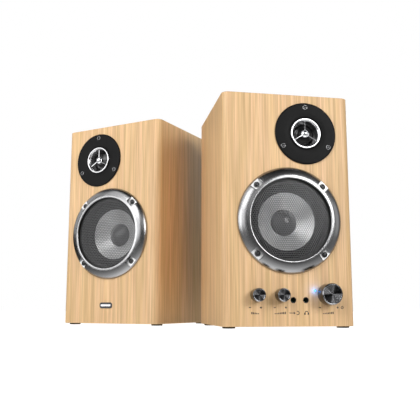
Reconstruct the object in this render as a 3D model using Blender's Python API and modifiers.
"""A pair of wooden desktop speakers, each on four rubber feet.

The active speaker holds the amplifier and the controls. The passive satellite stands behind
it to the left, turned outwards, with its tweeter on its own outer side. Lengths below are in
millimetres and the helpers make metres of them. Each speaker is built in its own axes: x to
its right, y into the box from the front face, z up from the desk. "Proud" is how far a point
stands in front of the front face, and is negative inside the box.
"""

from collections import namedtuple
from math import cos, pi, radians, sin

import bmesh
import bpy
from mathutils import Matrix, Vector

MM = 0.001
GAP = 0.3  # air between touching pieces

# Cabinet
CABINET_W, CABINET_H, CABINET_D = 158.0, 277.0, 150.0
FOOT_H = 2.0
TOP = FOOT_H + CABINET_H
WALL = 12.0
EDGE_R = 8.0  # round of the two upright front edges
REAR_FACE = 147.0  # depth of the rear panel's outer face
REAR_THICK = 9.0
FOOT_R = 7.75
FOOT_IN_X, FOOT_IN_Y = 9.7, 15.0  # foot centres, in from the side and from the front or back

# How the pair stands: the satellite against the active speaker, front middle to front middle
SATELLITE_OFFSET = (-203.7, 169.4)
SATELLITE_YAW = -38.4

# Woofer, at (x outboard, z)
WOOFER = (1.2, 125.2)
TRIM_R, LIP_R, TRIM_PROUD = 63.3, 48.7, 8.9
NOTCH_FLOOR = 3.6
NOTCH_IN_R = 52.9
NOTCH_W = 13.0
WOOFER_SCREW_R = 57.0
WOOFER_SCREW_ANGLES = (45, 135, 225, 315)
WALL_R = 47.3  # basket wall, outside
CONE_R, CONE_DEPTH = 36.4, 11.6
NECK_R, NECK_DEPTH = 13.0, 26.0
CAP_R, CAP_DEPTH, CAP_RISE = 16.1, 23.7, 6.0
FORMER_R = 12.7
POLE_R, GAP_R = 11.6, 13.7
MAGNET_R = 35.0
PLATE_DEPTH = 36.0  # front of the woofer's top plate
YOKE_DEPTH = 54.0

# Tweeter, at (x outboard, z)
TWEETER = (23.0, 231.2)
FACE_R, FACE_PROUD = 38.1, 2.1
HORN_R, HORN_PROUD = 18.8, 3.0
TWEETER_SCREW_R = 32.5
DOME_R = 12.4
COLLAR_R = 24.4
SPOKE_ANGLES = (90, 210, 330)

# Port and rear terminal, at (x outboard, z)
PORT = (0.0, 205.0)
PORT_R, PORT_BORE_R, PORT_LENGTH = 19.0, 17.0, 54.0
TERMINAL = (0.0, 72.0)
TERMINAL_W, TERMINAL_H, TERMINAL_DEEP = 42.0, 24.0, 7.0
LEVER_X, LEVER_W = 9.8, 12.0
LEVER_PIVOT_Z, LEVER_PIVOT_OUT = 9.0, 6.0  # above the terminal's middle, out from its base

# Controls on the active speaker's front, at (x, z)
Knob = namedtuple("Knob", "name x z radius proud")
KNOBS = (
    Knob("bass_knob", -40.0, 37.7, 7.7, 14.5),
    Knob("treble_knob", -11.0, 37.7, 7.7, 14.5),
    Knob("volume_knob", 45.0, 38.9, 12.3, 18.8),
)
JACKS = ((3.8, 32.1), (18.9, 32.1))
JACK_HOLE_R = 3.15
LED = (30.5, 43.0)
LED_R = 1.5
SHAFT_R = 3.0
BOARD_DEPTH = 22.3

# Amplifier on the active speaker's back
AMP_W, AMP_H, AMP_Z = 116.0, 132.0, 82.0
AMP_THICK = 1.5
AMP_FACE = REAR_FACE + GAP + AMP_THICK  # depth of the plate's outer face
AMP_CUT_W, AMP_CUT_H = 100.0, 116.0
RCA_X, RCA_Z, RCA_R = (-26.0, -8.0), 118.0, 4.2
INLET = (0.0, 36.0)  # middle of the mains socket and switch module
SOCKET_X, ROCKER_X = -13.0, 13.0  # of the two wells, from the module's middle
ROCKER_TILT = 10.0

FINE, MEDIUM, COARSE = 32, 24, 16  # steps round large, middling and small turned pieces

Speaker = namedtuple("Speaker", "name side root")


def clear_scene():
    for thing in list(bpy.data.objects):
        bpy.data.objects.remove(thing, do_unlink=True)


def new_collection(name):
    made = bpy.data.collections.new(name)
    bpy.context.scene.collection.children.link(made)
    return made


def new_material(name, colour, roughness, metallic=0.0):
    made = bpy.data.materials.new(name)
    made.use_nodes = True
    shader = made.node_tree.nodes["Principled BSDF"]
    shader.inputs["Base Color"].default_value = (*colour, 1.0)
    shader.inputs["Roughness"].default_value = roughness
    shader.inputs["Metallic"].default_value = metallic
    made.diffuse_color = (*colour, 1.0)
    return made


def place(thing, parent, at=(0, 0, 0), turn=(0, 0, 0)):
    thing.parent = parent
    thing.location = Vector(at) * MM
    thing.rotation_euler = [radians(angle) for angle in turn]


def new_empty(name, parent, at=(0, 0, 0), turn=(0, 0, 0)):
    made = bpy.data.objects.new(name, None)
    PARTS.objects.link(made)
    place(made, parent, at, turn)
    return made


def new_object(name, mesh, material, parent, at=(0, 0, 0), turn=(0, 0, 0)):
    """A part with its material, or a cutter if material is None."""
    made = bpy.data.objects.new(name, mesh)
    if material is None:
        CUTTERS.objects.link(made)
        made.hide_render = True
        made.display_type = "WIRE"
    else:
        PARTS.objects.link(made)
        mesh.materials.append(material)
    place(made, parent, at, turn)
    return made


def runs_clockwise(points):
    area = 0.0
    for (r0, h0), (r1, h1) in zip(points, points[1:] + points[:1]):
        area += r0 * h1 - r1 * h0
    return area < 0


def turned(name, profile, steps, material, parent, at):
    """A solid of revolution whose axis runs front to back through at. The profile's points are
    (radius, proud). It is open where both ends lie on the axis, and closed otherwise."""
    points = list(profile)
    if not runs_clockwise(points):
        points.reverse()
    mesh = bpy.data.meshes.new(name)
    vertices = [(r * MM, 0.0, h * MM) for r, h in points]
    edges = [(n, n + 1) for n in range(len(points) - 1)]
    on_axis = [n for n, (r, _) in enumerate(points) if r == 0]
    if not on_axis:
        edges.append((len(points) - 1, 0))
    elif on_axis != [0, len(points) - 1]:
        start = on_axis[-1]
        vertices = vertices[start:] + vertices[:start]
    mesh.from_pydata(vertices, edges, [])
    made = new_object(name, mesh, material, parent, at, (90, 0, 0))
    screw = made.modifiers.new("turn", "SCREW")
    screw.axis = "Z"
    screw.steps = screw.render_steps = steps
    screw.use_merge_vertices = True
    screw.merge_threshold = 0.00001
    return made


def cylinder(name, radius, start, end, steps, material, parent, at=(0, 0)):
    """A rod of the given radius between two depths, at (x, z)."""
    profile = [(0, -start), (radius, -start), (radius, -end), (0, -end)]
    return turned(name, profile, steps, material, parent, (at[0], 0, at[1]))


def box(name, low, high, material, parent, at=(0, 0, 0), turn=(0, 0, 0)):
    """A block between two corners, measured from at."""
    low, high = Vector(low) * MM, Vector(high) * MM
    mesh = bpy.data.meshes.new(name)
    shape = bmesh.new()
    middle = Matrix.Translation((low + high) / 2)
    scale = Matrix.Diagonal((*(high - low), 1.0))
    bmesh.ops.create_cube(shape, size=1.0, matrix=middle @ scale)
    shape.to_mesh(mesh)
    shape.free()
    return new_object(name, mesh, material, parent, at, turn)


def extruded(name, outline, low_x, high_x, material, parent, at=(0, 0, 0), turn=(0, 0, 0)):
    """A side outline of (y, z) points, drawn anticlockwise seen from +x, stretched along x."""
    mesh = bpy.data.meshes.new(name)
    shape = bmesh.new()
    corners = [shape.verts.new((low_x * MM, y * MM, z * MM)) for y, z in outline]
    face = shape.faces.new(corners)
    swept = bmesh.ops.extrude_face_region(shape, geom=[face])["geom"]
    moved = [v for v in swept if isinstance(v, bmesh.types.BMVert)]
    bmesh.ops.translate(shape, verts=moved, vec=((high_x - low_x) * MM, 0, 0))
    bmesh.ops.recalc_face_normals(shape, faces=shape.faces)
    shape.to_mesh(mesh)
    shape.free()
    return new_object(name, mesh, material, parent, at, turn)


def combine(target, other, operation="DIFFERENCE"):
    step = target.modifiers.new(other.name, "BOOLEAN")
    step.operation = operation
    step.solver = "EXACT"
    step.object = other


def join(target, other):
    combine(target, other, "UNION")


def ring_points(radius, angles):
    return [(radius * cos(radians(a)), radius * sin(radians(a))) for a in angles]


def driver_place(speaker, centre, offset=(0, 0)):
    """(x, z) of a point beside a driver's centre, mirrored for the satellite."""
    return (speaker.side * centre[0] + offset[0], centre[1] + offset[1])


# Cabinet


def build_cabinet(speaker):
    name = speaker.name + "_cabinet"
    half = CABINET_W / 2
    low, high = (-half, 0, FOOT_H), (half, CABINET_D, TOP)
    shell = box(name, low, high, WOOD, speaker.root)
    weights = shell.data.attributes.new("bevel_weight_edge", "FLOAT", "EDGE")
    for edge in shell.data.edges:
        ends = [shell.data.vertices[n].co for n in edge.vertices]
        upright = abs(ends[0].z - ends[1].z) > MM
        if upright and ends[0].y < MM:
            weights.data[edge.index].value = 1.0
    bevel = shell.modifiers.new("front_edges", "BEVEL")
    bevel.limit_method = "WEIGHT"
    bevel.width = EDGE_R * MM
    bevel.segments = 4
    inner = half - WALL
    low, high = (-inner, WALL, FOOT_H + WALL), (inner, CABINET_D + 5, TOP - WALL)
    combine(shell, box(name + "_hollow", low, high, None, speaker.root))
    front_holes(speaker, shell)


def front_holes(speaker, shell):
    def hole(label, radius, at, steps):
        label = f"{shell.name}_{label}"
        combine(shell, cylinder(label, radius, -5, WALL + 5, steps, None, speaker.root, at))

    hole("woofer_hole", WALL_R + GAP, driver_place(speaker, WOOFER), FINE)
    hole("tweeter_hole", COLLAR_R + GAP, driver_place(speaker, TWEETER), MEDIUM)
    for n, offset in enumerate(ring_points(WOOFER_SCREW_R, WOOFER_SCREW_ANGLES)):
        hole(f"woofer_pilot_{n}", 1.9, driver_place(speaker, WOOFER, offset), 6)
    for n, offset in enumerate(ring_points(TWEETER_SCREW_R, SPOKE_ANGLES)):
        hole(f"tweeter_pilot_{n}", 1.7, driver_place(speaker, TWEETER, offset), 6)
    if speaker.side < 0:
        return
    for knob in KNOBS:
        hole(knob.name + "_hole", SHAFT_R + GAP, (knob.x, knob.z), 12)
    for n, at in enumerate(JACKS):
        hole(f"jack_hole_{n}", JACK_HOLE_R, at, 14)
    hole("led_hole", LED_R + GAP, LED, 12)


def build_rear_panel(speaker):
    name = speaker.name + "_rear_panel"
    half = CABINET_W / 2 - WALL - GAP
    low = (-half, REAR_FACE - REAR_THICK, FOOT_H + WALL + GAP)
    high = (half, REAR_FACE, TOP - WALL - GAP)
    panel = box(name, low, high, BLACK_BOARD, speaker.root)
    start, end = REAR_FACE - 20, REAR_FACE + 20
    bore = cylinder(name + "_bore", PORT_R + GAP, start, end, MEDIUM, None, speaker.root, PORT)
    combine(panel, bore)
    if speaker.side > 0:
        half_w, low_z, high_z = AMP_CUT_W / 2, AMP_Z - AMP_CUT_H / 2, AMP_Z + AMP_CUT_H / 2
    else:
        half_w, low_z, high_z = 16.0, TERMINAL[1] - 8.0, TERMINAL[1] + 8.0
    low, high = (-half_w, start, low_z), (half_w, end, high_z)
    combine(panel, box(name + "_window", low, high, None, speaker.root))


def build_feet(speaker):
    across = CABINET_W / 2 - FOOT_IN_X
    spots = [(x, y) for y in (FOOT_IN_Y, CABINET_D - FOOT_IN_Y) for x in (-across, across)]
    for n, (x, y) in enumerate(spots, start=1):
        name = f"{speaker.name}_foot_{n}"
        mesh = bpy.data.meshes.new(name)
        shape = bmesh.new()
        height = FOOT_H - GAP
        bmesh.ops.create_cone(
            shape, cap_ends=True, segments=16, radius1=FOOT_R * MM,
            radius2=(FOOT_R - 0.6) * MM, depth=height * MM,
        )
        shape.to_mesh(mesh)
        shape.free()
        new_object(name, mesh, RUBBER, speaker.root, (x, y, height / 2))


def build_port(speaker):
    inner, outer = REAR_FACE + GAP, REAR_FACE + 2.6
    front = outer - PORT_LENGTH
    profile = [
        (PORT_BORE_R, -front), (PORT_R, -front), (PORT_R, -inner), (24.0, -inner),
        (24.0, -outer), (20.5, -outer), (18.4, -outer + 2.0), (PORT_BORE_R, -outer + 7.0),
    ]
    at = (speaker.side * PORT[0], 0, PORT[1])
    turned(speaker.name + "_port", profile, COARSE, BLACK_PLASTIC, speaker.root, at)


# Woofer


def woofer_at(speaker):
    x, z = driver_place(speaker, WOOFER)
    return (x, 0, z)


def build_trim_ring(speaker):
    name = speaker.name + "_trim_ring"
    profile = [
        (LIP_R, 8.2), (49.6, TRIM_PROUD), (54.5, 8.2), (60.5, 5.4), (TRIM_R, 2.4),
        (63.0, GAP), (60.2, GAP), (60.2, 2.3), (52.2, 2.3), (52.2, 6.0), (LIP_R, 6.0),
    ]
    trim = turned(name, profile, FINE, CHROME, speaker.root, woofer_at(speaker))
    for n, angle in enumerate((45, 135)):
        low = (-TRIM_R - 5, -TRIM_PROUD - 5, -NOTCH_W / 2)
        high = (TRIM_R + 5, -NOTCH_FLOOR, NOTCH_W / 2)
        label = f"{name}_notch_{n}"
        bar = box(label, low, high, None, speaker.root, woofer_at(speaker), (0, angle, 0))
        keep = [(0, 20), (NOTCH_IN_R, 20), (NOTCH_IN_R, -5), (0, -5)]
        middle = turned(label + "_keep", keep, FINE, None, speaker.root, woofer_at(speaker))
        combine(bar, middle)
        combine(trim, bar)
    for n, (x, z) in enumerate(ring_points(WOOFER_SCREW_R, WOOFER_SCREW_ANGLES)):
        at = driver_place(speaker, WOOFER, (x, z))
        combine(trim, cylinder(f"{name}_hole_{n}", 1.9, -20, 5, 6, None, speaker.root, at))


def build_grille(speaker):
    profile = [(0, 4.9), (51.8, 4.9), (51.8, 4.1), (0, 4.1)]
    turned(speaker.name + "_grille", profile, MEDIUM, MESH_METAL, speaker.root, woofer_at(speaker))


def build_basket(speaker):
    name = speaker.name + "_basket"
    profile = [
        (45.7, 1.9), (59.6, 1.9), (59.6, 1.1), (WALL_R, 1.1), (WALL_R, -11.4),
        (34.6, -31.5), (34.6, -35.7), (20.5, -35.7), (20.5, -34.3), (29.5, -31.9),
        (33.0, -31.9), (43.6, -11.6), (43.6, -9.9), (45.7, -9.9),
    ]
    basket = turned(name, profile, MEDIUM, DARK_STEEL, speaker.root, woofer_at(speaker))
    for n, angle in enumerate((0, 90)):
        low, high = (-60, 15.0, -16), (60, 27.5, 16)
        label = f"{name}_window_{n}"
        window = box(label, low, high, None, speaker.root, woofer_at(speaker), (0, angle, 0))
        combine(basket, window)
    for n, (x, z) in enumerate(ring_points(WOOFER_SCREW_R, WOOFER_SCREW_ANGLES)):
        at = driver_place(speaker, WOOFER, (x, z))
        combine(basket, cylinder(f"{name}_hole_{n}", 1.9, -5, 5, 6, None, speaker.root, at))


def build_woofer_screws(speaker):
    """Four screws, made one body by a thin hoop that lies hidden under the basket's flange."""
    name = speaker.name + "_woofer_screws"
    hoop_out, hoop_in = WOOFER_SCREW_R + 0.5, WOOFER_SCREW_R - 0.5
    profile = [(hoop_in, 0.8), (hoop_out, 0.8), (hoop_out, GAP), (hoop_in, GAP)]
    screws = turned(name, profile, MEDIUM, SCREW_STEEL, speaker.root, woofer_at(speaker))
    for n, (x, z) in enumerate(ring_points(WOOFER_SCREW_R, WOOFER_SCREW_ANGLES)):
        x, z = driver_place(speaker, WOOFER, (x, z))
        join(screws, screw_body(f"{name}_{n}", NOTCH_FLOOR + GAP, 3.3, 1.6, speaker, (x, 0, z)))


def screw_body(name, seat, head_r, shank_r, speaker, at):
    profile = [
        (0, seat + 1.4), (head_r, seat + 0.6), (head_r, seat), (shank_r, seat),
        (shank_r, -14.0), (0, -15.5),
    ]
    return turned(name, profile, 8, None, speaker.root, at)


def build_magnet(speaker):
    profile = [
        (0, -PLATE_DEPTH), (POLE_R, -PLATE_DEPTH), (POLE_R, -50), (17.0, -50), (17.0, -40),
        (GAP_R, -40), (GAP_R, -PLATE_DEPTH), (32.0, -PLATE_DEPTH), (32.0, -40),
        (MAGNET_R, -40), (MAGNET_R, -50), (32.0, -50), (32.0, -YOKE_DEPTH), (0, -YOKE_DEPTH),
    ]
    name = speaker.name + "_woofer_magnet"
    turned(name, profile, COARSE, FERRITE, speaker.root, woofer_at(speaker))


def build_moving_cone(speaker):
    """Cone, dust cap and voice coil, which slide together along the driver's axis."""
    carrier = new_empty(speaker.name + "_cone_axis", speaker.root, woofer_at(speaker))
    origin = (0, 0, 0)
    thick = 0.8
    cone = [
        (CONE_R, -CONE_DEPTH), (CONE_R, -CONE_DEPTH - thick), (27.5, -18.0 - thick),
        (NECK_R, -NECK_DEPTH - thick), (NECK_R, -NECK_DEPTH), (27.5, -18.0),
    ]
    turned(speaker.name + "_cone", cone, MEDIUM, CONE_PULP, carrier, origin)
    sphere_r = (CAP_R**2 + CAP_RISE**2) / (2 * CAP_RISE)
    middle = -CAP_DEPTH + CAP_RISE - sphere_r
    radii = (0.0, 5.5, 10.5, 14.0, CAP_R)
    front = [(r, middle + (sphere_r**2 - r**2) ** 0.5) for r in radii]
    back = [(r, h - thick) for r, h in reversed(front[:-1])]
    back.insert(0, (CAP_R - thick, -CAP_DEPTH))
    turned(speaker.name + "_dust_cap", front + back, COARSE, CAP_CLOTH, carrier, origin)
    inside = FORMER_R - 0.5
    coil = [
        (inside, -24.6), (FORMER_R, -24.6), (FORMER_R, -33.5), (FORMER_R + 0.5, -33.5),
        (FORMER_R + 0.5, -42.5), (FORMER_R, -42.5), (FORMER_R, -45.5), (inside, -45.5),
    ]
    turned(speaker.name + "_voice_coil", coil, COARSE, COPPER, carrier, origin)


def build_suspension(speaker):
    thick = 0.6
    roll_in, roll_out, roll_rise = 37.0, 44.2, 3.0
    deep, shallow = -11.0, -8.7  # the roll's feet, at the cone and at the basket
    front = []
    for angle in (0, 60, 120, 180):
        across = (1 - cos(radians(angle))) / 2
        r = roll_in + (roll_out - roll_in) * across
        front.append((r, deep + (shallow - deep) * across + roll_rise * sin(radians(angle))))
    front.append((45.4, shallow))
    back = [(r, h - thick) for r, h in reversed(front)]
    name = speaker.name + "_surround"
    turned(name, front + back, MEDIUM, RUBBER, speaker.root, woofer_at(speaker))
    waves = [(13.0 + 4.2 * n, -30.2 if n % 2 else -31.2) for n in range(5)]
    front = [*waves, (32.7, -31.1)]
    back = [(r, h - 0.5) for r, h in reversed(front)]
    name = speaker.name + "_spider"
    turned(name, front + back, COARSE, SPIDER_CLOTH, speaker.root, woofer_at(speaker))


# Tweeter


def tweeter_at(speaker):
    x, z = driver_place(speaker, TWEETER)
    return (x, 0, z)


def build_tweeter_plate(speaker):
    name = speaker.name + "_tweeter_plate"
    bore = HORN_R + GAP
    profile = [
        (bore, 1.4), (22.5, FACE_PROUD), (FACE_R - 0.8, FACE_PROUD), (FACE_R, 1.3),
        (FACE_R, GAP), (COLLAR_R, GAP), (COLLAR_R, -4.0), (bore, -4.0),
    ]
    plate = turned(name, profile, MEDIUM, SATIN_BLACK, speaker.root, tweeter_at(speaker))
    for n, offset in enumerate(ring_points(TWEETER_SCREW_R, SPOKE_ANGLES)):
        at = driver_place(speaker, TWEETER, offset)
        combine(plate, cylinder(f"{name}_hole_{n}", 1.7, -5, 5, 6, None, speaker.root, at))
        seat = cylinder(f"{name}_seat_{n}", 2.9, -5, -1.2, 8, None, speaker.root, at)
        combine(plate, seat)


def build_tweeter_screws(speaker):
    """Three screws, made one body by a thin hoop that lies hidden in the plate's back."""
    name = speaker.name + "_tweeter_screws"
    seat, head_r, shank_r = 1.2 + GAP, 2.5, 1.4
    screws = None
    for n, offset in enumerate(ring_points(TWEETER_SCREW_R, SPOKE_ANGLES)):
        x, z = driver_place(speaker, TWEETER, offset)
        profile = [
            (0, seat + 0.9), (head_r, seat + 0.6), (head_r, seat), (shank_r, seat),
            (shank_r, -13.0), (0, -14.0),
        ]
        material = SCREW_STEEL if n == 0 else None
        label = name if n == 0 else f"{name}_{n}"
        made = turned(label, profile, 8, material, speaker.root, (x, 0, z))
        if n == 0:
            screws = made
        else:
            join(screws, made)
    out, inner = TWEETER_SCREW_R + 0.4, TWEETER_SCREW_R - 0.4
    profile = [(inner, -WALL - 0.4), (out, -WALL - 0.4), (out, -WALL - 1.0), (inner, -WALL - 1.0)]
    hoop = turned(name + "_hoop", profile, COARSE, None, speaker.root, tweeter_at(speaker))
    join(screws, hoop)


def build_tweeter_horn(speaker):
    """The bright ring round the dome, with three spokes that hold a bullet before it."""
    name = speaker.name + "_tweeter_horn"
    profile = [
        (16.6, HORN_PROUD), (18.3, HORN_PROUD), (HORN_R, 2.4), (HORN_R, -5.2),
        (13.4, -5.2), (13.4, -4.2),
    ]
    horn = turned(name, profile, MEDIUM, BRIGHT_METAL, speaker.root, tweeter_at(speaker))
    bullet = [(0, 2.6), (2.6, 2.2), (4.6, 1.0), (5.4, -0.6), (3.6, -1.4), (0, -1.4)]
    hub = turned(name + "_bullet", bullet, 12, None, speaker.root, tweeter_at(speaker))
    for n, angle in enumerate(SPOKE_ANGLES):
        low, high = (3.0, -0.7, -0.6), (16.0, 0.7, 0.6)
        label = f"{name}_spoke_{n}"
        spoke = box(label, low, high, None, speaker.root, tweeter_at(speaker), (0, -angle, 0))
        join(horn, spoke)
    join(horn, hub)


def build_tweeter_dome(speaker):
    carrier = new_empty(speaker.name + "_dome_axis", speaker.root, tweeter_at(speaker))
    rise, thick = 4.1, 0.4
    sphere_r = (DOME_R**2 + rise**2) / (2 * rise)
    middle = -6.5 + rise - sphere_r
    radii = (0.0, 5.0, 9.2, DOME_R)
    front = [(r, middle + (sphere_r**2 - r**2) ** 0.5) for r in radii]
    inside = DOME_R - thick
    skirt = [(DOME_R, -15.0), (inside, -15.0), (inside, -6.9)]
    back = [(r, h - thick) for r, h in reversed(front[:-1])]
    name = speaker.name + "_tweeter_dome"
    turned(name, front + skirt + back, COARSE, GLOSS_BLACK, carrier, (0, 0, 0))


def build_tweeter_motor(speaker):
    outer = COLLAR_R - 0.2
    profile = [
        (0, -9), (11.4, -9), (11.4, -20), (16.0, -20), (16.0, -12), (13.3, -12), (13.3, -9),
        (19.8, -9), (19.8, -4.4), (outer, -4.4), (outer, -24), (0, -24),
    ]
    name = speaker.name + "_tweeter_motor"
    turned(name, profile, COARSE, FERRITE, speaker.root, tweeter_at(speaker))


# Rear terminal


def build_terminal(speaker, base):
    """A two-way spring terminal on a plate whose outer face lies at depth base."""
    name = speaker.name + "_terminal"
    at = (TERMINAL[0], base, TERMINAL[1])
    half_w, half_h = TERMINAL_W / 2, TERMINAL_H / 2
    low, high = (-half_w, GAP, -half_h), (half_w, TERMINAL_DEEP + GAP, half_h)
    block = box(name, low, high, BLACK_PLASTIC, speaker.root, at)
    plug_low, plug_high = (-14, -REAR_THICK - 3, -6), (14, 1, 6)
    join(block, box(name + "_back", plug_low, plug_high, None, speaker.root, at))
    for n, x in enumerate((-LEVER_X, LEVER_X)):
        half = LEVER_W / 2 + GAP
        low, high = (x - half, 1.8, -1.0), (x + half, TERMINAL_DEEP + 9, 10.6)
        combine(block, box(f"{name}_slot_{n}", low, high, None, speaker.root, at))
        wire = [(0, -1.8), (1.6, -1.8), (1.6, -TERMINAL_DEEP - 9), (0, -TERMINAL_DEEP - 9)]
        spot = (at[0] + x, at[1], at[2] - 6.4)
        combine(block, turned(f"{name}_wire_{n}", wire, 8, None, speaker.root, spot))
    outline = [
        (-0.8, -8.0), (4.6, -8.0), (4.6, -5.4), (1.1, -3.6), (1.1, 0.5), (0.4, 1.0),
        (-0.8, 1.0),
    ]
    for colour, material, x in (("red", RED_PLASTIC, -LEVER_X), ("black", GLOSS_BLACK, LEVER_X)):
        pivot = (at[0] + x, base + LEVER_PIVOT_OUT, at[2] + LEVER_PIVOT_Z)
        label = f"{speaker.name}_lever_{colour}"
        half = LEVER_W / 2
        extruded(label, outline, -half, half, material, speaker.root, pivot)


# Active speaker only


def build_knobs(speaker):
    for knob in KNOBS:
        carrier = new_empty(knob.name + "_axis", speaker.root, (knob.x, 0, knob.z))
        r, proud = knob.radius, knob.proud
        profile = [
            (0, proud - 0.3), (r - 1.6, proud - 0.3), (r - 1.1, proud), (r, proud - 1.1),
            (r, 1.0), (SHAFT_R, 1.0), (SHAFT_R, -18.6), (0, -18.6),
        ]
        turned(knob.name, profile, 20, KNOB_METAL, carrier, (0, 0, 0))


def build_control_board(speaker):
    name = "control_board"
    low, high = (-52, BOARD_DEPTH, 24), (59, BOARD_DEPTH + 1.6, 50)
    board = box(name, low, high, BOARD_GREEN, speaker.root)
    front = WALL + GAP
    for knob in KNOBS:
        label = f"{name}_{knob.name}"
        low, high = (-7.5, front, -7.5), (7.5, BOARD_DEPTH + 0.4, 7.5)
        body = box(label + "_pot", low, high, None, speaker.root, (knob.x, 0, knob.z))
        bore = SHAFT_R + GAP
        at = (knob.x, knob.z)
        well = cylinder(label + "_well", bore, 0, 19.4, 16, None, speaker.root, at)
        combine(body, well)
        join(board, body)
    for n, (x, z) in enumerate(JACKS):
        label = f"{name}_jack_{n}"
        low, high = (-5.0, front, -4.5), (5.0, BOARD_DEPTH + 0.4, 4.5)
        body = box(label, low, high, None, speaker.root, (x, 0, z))
        join(body, cylinder(label + "_snout", 2.8, 5.0, 15, 14, None, speaker.root, (x, z)))
        combine(body, cylinder(label + "_bore", 1.8, 0, 20, 10, None, speaker.root, (x, z)))
        join(board, body)


def build_led(speaker):
    profile = [(0, 0.9), (1.0, 0.5), (LED_R, -0.4), (LED_R, -WALL), (0, -WALL)]
    at = (LED[0], 0, LED[1])
    turned("power_led", profile, 12, BLUE_GLASS, speaker.root, at)


def build_amplifier_plate(speaker):
    name = "amplifier_plate"
    low = (-AMP_W / 2, REAR_FACE + GAP, AMP_Z - AMP_H / 2)
    high = (AMP_W / 2, AMP_FACE, AMP_Z + AMP_H / 2)
    plate = box(name, low, high, PLATE_STEEL, speaker.root)
    start, end = REAR_FACE - 5, REAR_FACE + 10
    for n, x in enumerate(RCA_X):
        label = f"{name}_rca_{n}"
        at = (x, RCA_Z)
        combine(plate, cylinder(label, RCA_R + 0.4, start, end, 16, None, speaker.root, at))
    low, high = (-14.4, start, TERMINAL[1] - 6.4), (14.4, end, TERMINAL[1] + 6.4)
    combine(plate, box(name + "_terminal_cut", low, high, None, speaker.root))
    low, high = (-23.4, start, INLET[1] - 8.9), (23.4, end, INLET[1] + 8.9)
    combine(plate, box(name + "_inlet_cut", low, high, None, speaker.root))


def build_amplifier_board(speaker):
    name = "amplifier_board"
    face = 131.5
    low, high = (-45, face, 92), (45, face + 1.6, 138)
    board = box(name, low, high, BOARD_GREEN, speaker.root)
    for n, x in enumerate(RCA_X):
        label = f"{name}_rca_{n}"
        at = (x, RCA_Z)
        barrel = cylinder(label, RCA_R, face + 1, AMP_FACE + 9, 16, None, speaker.root, at)
        tip, end = AMP_FACE - 1, AMP_FACE + 20
        combine(barrel, cylinder(label + "_bore", 1.7, tip, end, 8, None, speaker.root, at))
        join(board, barrel)
    sink = box(name + "_sink", (6, face - 22, 100), (42, face + 0.4, 130), None, speaker.root)
    for n in range(4):
        x = 11.0 + 7.2 * n
        low, high = (x, face - 30, 95), (x + 4.0, face - 4, 135)
        combine(sink, box(f"{name}_fin_gap_{n}", low, high, None, speaker.root))
    join(board, sink)
    for n, x in enumerate((-34.0, -14.0)):
        label = f"{name}_capacitor_{n}"
        join(board, cylinder(label, 7.5, face - 26, face + 0.4, 16, None, speaker.root, (x, 104)))


def build_transformer(speaker):
    name = "transformer"
    at = (14, 104, FOOT_H + WALL + GAP)
    core = box(name, (-24, -16, 0), (24, 16, 40), CORE_STEEL, speaker.root, at)
    join(core, box(name + "_bobbin", (-15, -23, 7), (15, 23, 33), None, speaker.root, at))
    join(core, box(name + "_strap", (-33, -8, 0), (33, 8, 1.6), None, speaker.root, at))


def build_power_inlet(speaker):
    """A snap-in module with a two-pin mains socket and the well of the power rocker."""
    name = "power_inlet"
    at = (INLET[0], AMP_FACE, INLET[1])
    module = box(name, (-26, GAP, -11), (26, 2.3, 11), BLACK_PLASTIC, speaker.root, at)
    join(module, box(name + "_body", (-23, -18, -8.5), (23, 1, 8.5), None, speaker.root, at))
    low, high = (SOCKET_X - 8.5, -14, -4.8), (SOCKET_X + 8.5, 9, 4.8)
    combine(module, box(name + "_socket", low, high, None, speaker.root, at))
    for n, side in enumerate((-4.3, 4.3)):
        pin = [(0, 15.0), (1.2, 15.0), (1.2, 3.0), (0, 3.0)]
        spot = (at[0] + SOCKET_X + side, at[1], at[2])
        join(module, turned(f"{name}_pin_{n}", pin, 8, None, speaker.root, spot))
    low, high = (ROCKER_X - 7.3, -9, -6.2), (ROCKER_X + 7.3, 9, 6.2)
    combine(module, box(name + "_rocker_well", low, high, None, speaker.root, at))
    pivot = (at[0] + ROCKER_X, at[1] - 1.0, at[2])
    outline = [(-3.0, -4.6), (4.0, -5.2), (2.4, 0), (4.0, 5.2), (-3.0, 4.6), (-5.5, 0)]
    turn = (ROCKER_TILT, 0, 0)
    extruded("power_rocker", outline, -7.0, 7.0, GLOSS_BLACK, speaker.root, pivot, turn)


# Whole object


def satellite_point(x, y):
    """A point of the satellite's plan, in the active speaker's axes."""
    yaw = radians(SATELLITE_YAW)
    return (
        SATELLITE_OFFSET[0] + x * cos(yaw) - y * sin(yaw),
        SATELLITE_OFFSET[1] + x * sin(yaw) + y * cos(yaw),
    )


def footprint_middle():
    """Middle of the rectangle round the pair, in the active speaker's axes."""
    half = CABINET_W / 2
    low_x = satellite_point(EDGE_R - half, EDGE_R)[0] - EDGE_R
    high_y = satellite_point(-half, CABINET_D)[1]
    low_y = -max(knob.proud for knob in KNOBS)
    return ((low_x + half) / 2, (low_y + high_y) / 2)


def build_speaker(name, side, at, yaw):
    speaker = Speaker(name, side, new_empty(name + "_speaker", None, (*at, 0), (0, 0, yaw)))
    build_cabinet(speaker)
    build_rear_panel(speaker)
    build_feet(speaker)
    build_port(speaker)
    build_trim_ring(speaker)
    build_grille(speaker)
    build_basket(speaker)
    build_woofer_screws(speaker)
    build_magnet(speaker)
    build_moving_cone(speaker)
    build_suspension(speaker)
    build_tweeter_plate(speaker)
    build_tweeter_screws(speaker)
    build_tweeter_horn(speaker)
    build_tweeter_dome(speaker)
    build_tweeter_motor(speaker)
    build_terminal(speaker, AMP_FACE if side > 0 else REAR_FACE)
    return speaker


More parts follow.
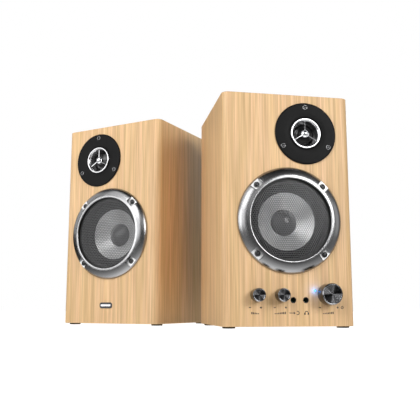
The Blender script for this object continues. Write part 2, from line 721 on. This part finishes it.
def build_active_extras(speaker):
    build_knobs(speaker)
    build_control_board(speaker)
    build_led(speaker)
    build_amplifier_plate(speaker)
    build_amplifier_board(speaker)
    build_transformer(speaker)
    build_power_inlet(speaker)


def shade():
    """Applies each part's modifiers and shades its round faces smooth."""
    bpy.context.view_layer.update()
    graph = bpy.context.evaluated_depsgraph_get()
    solids = [thing for thing in PARTS.objects if thing.type == "MESH"]
    made = {}
    for thing in solids:
        made[thing] = bpy.data.meshes.new_from_object(thing.evaluated_get(graph), depsgraph=graph)
    for thing, mesh in made.items():
        thing.modifiers.clear()
        thing.data = mesh
        mesh.shade_smooth()
        mesh.set_sharp_from_angle(angle=radians(32))


clear_scene()
PARTS = new_collection("desktop_speakers")
CUTTERS = new_collection("cutters")

WOOD = new_material("wood_vinyl", (0.72, 0.50, 0.30), 0.45)
BLACK_BOARD = new_material("black_board", (0.02, 0.02, 0.022), 0.7)
RUBBER = new_material("rubber", (0.012, 0.012, 0.013), 0.75)
BLACK_PLASTIC = new_material("black_plastic", (0.02, 0.02, 0.022), 0.5)
CHROME = new_material("trim_silver", (0.55, 0.56, 0.58), 0.18, 1.0)
MESH_METAL = new_material("grille_metal", (0.03, 0.03, 0.032), 0.5, 1.0)
DARK_STEEL = new_material("basket_steel", (0.04, 0.04, 0.042), 0.5, 1.0)
SCREW_STEEL = new_material("screw_steel", (0.05, 0.05, 0.055), 0.35, 1.0)
FERRITE = new_material("ferrite", (0.06, 0.06, 0.062), 0.6, 0.3)
CONE_PULP = new_material("cone_grey", (0.30, 0.30, 0.31), 0.5)
CAP_CLOTH = new_material("dust_cap_grey", (0.12, 0.12, 0.125), 0.5)
COPPER = new_material("copper", (0.72, 0.36, 0.20), 0.35, 1.0)
SPIDER_CLOTH = new_material("spider_cloth", (0.55, 0.38, 0.12), 0.85)
SATIN_BLACK = new_material("satin_black", (0.02, 0.02, 0.021), 0.42)
BRIGHT_METAL = new_material("bright_metal", (0.60, 0.61, 0.63), 0.22, 1.0)
GLOSS_BLACK = new_material("gloss_black", (0.008, 0.008, 0.009), 0.12)
KNOB_METAL = new_material("knob_metal", (0.05, 0.05, 0.055), 0.25, 1.0)
BOARD_GREEN = new_material("circuit_board", (0.02, 0.14, 0.06), 0.45)
BLUE_GLASS = new_material("led_blue", (0.10, 0.35, 1.0), 0.2)
PLATE_STEEL = new_material("plate_black", (0.025, 0.025, 0.027), 0.5, 0.6)
CORE_STEEL = new_material("core_steel", (0.35, 0.35, 0.36), 0.45, 1.0)
RED_PLASTIC = new_material("red_plastic", (0.55, 0.02, 0.02), 0.35)

MIDDLE = footprint_middle()
active = build_speaker("active", 1, (-MIDDLE[0], -MIDDLE[1]), 0)
build_active_extras(active)
build_speaker(
    "satellite", -1,
    (SATELLITE_OFFSET[0] - MIDDLE[0], SATELLITE_OFFSET[1] - MIDDLE[1]), SATELLITE_YAW,
)
shade()
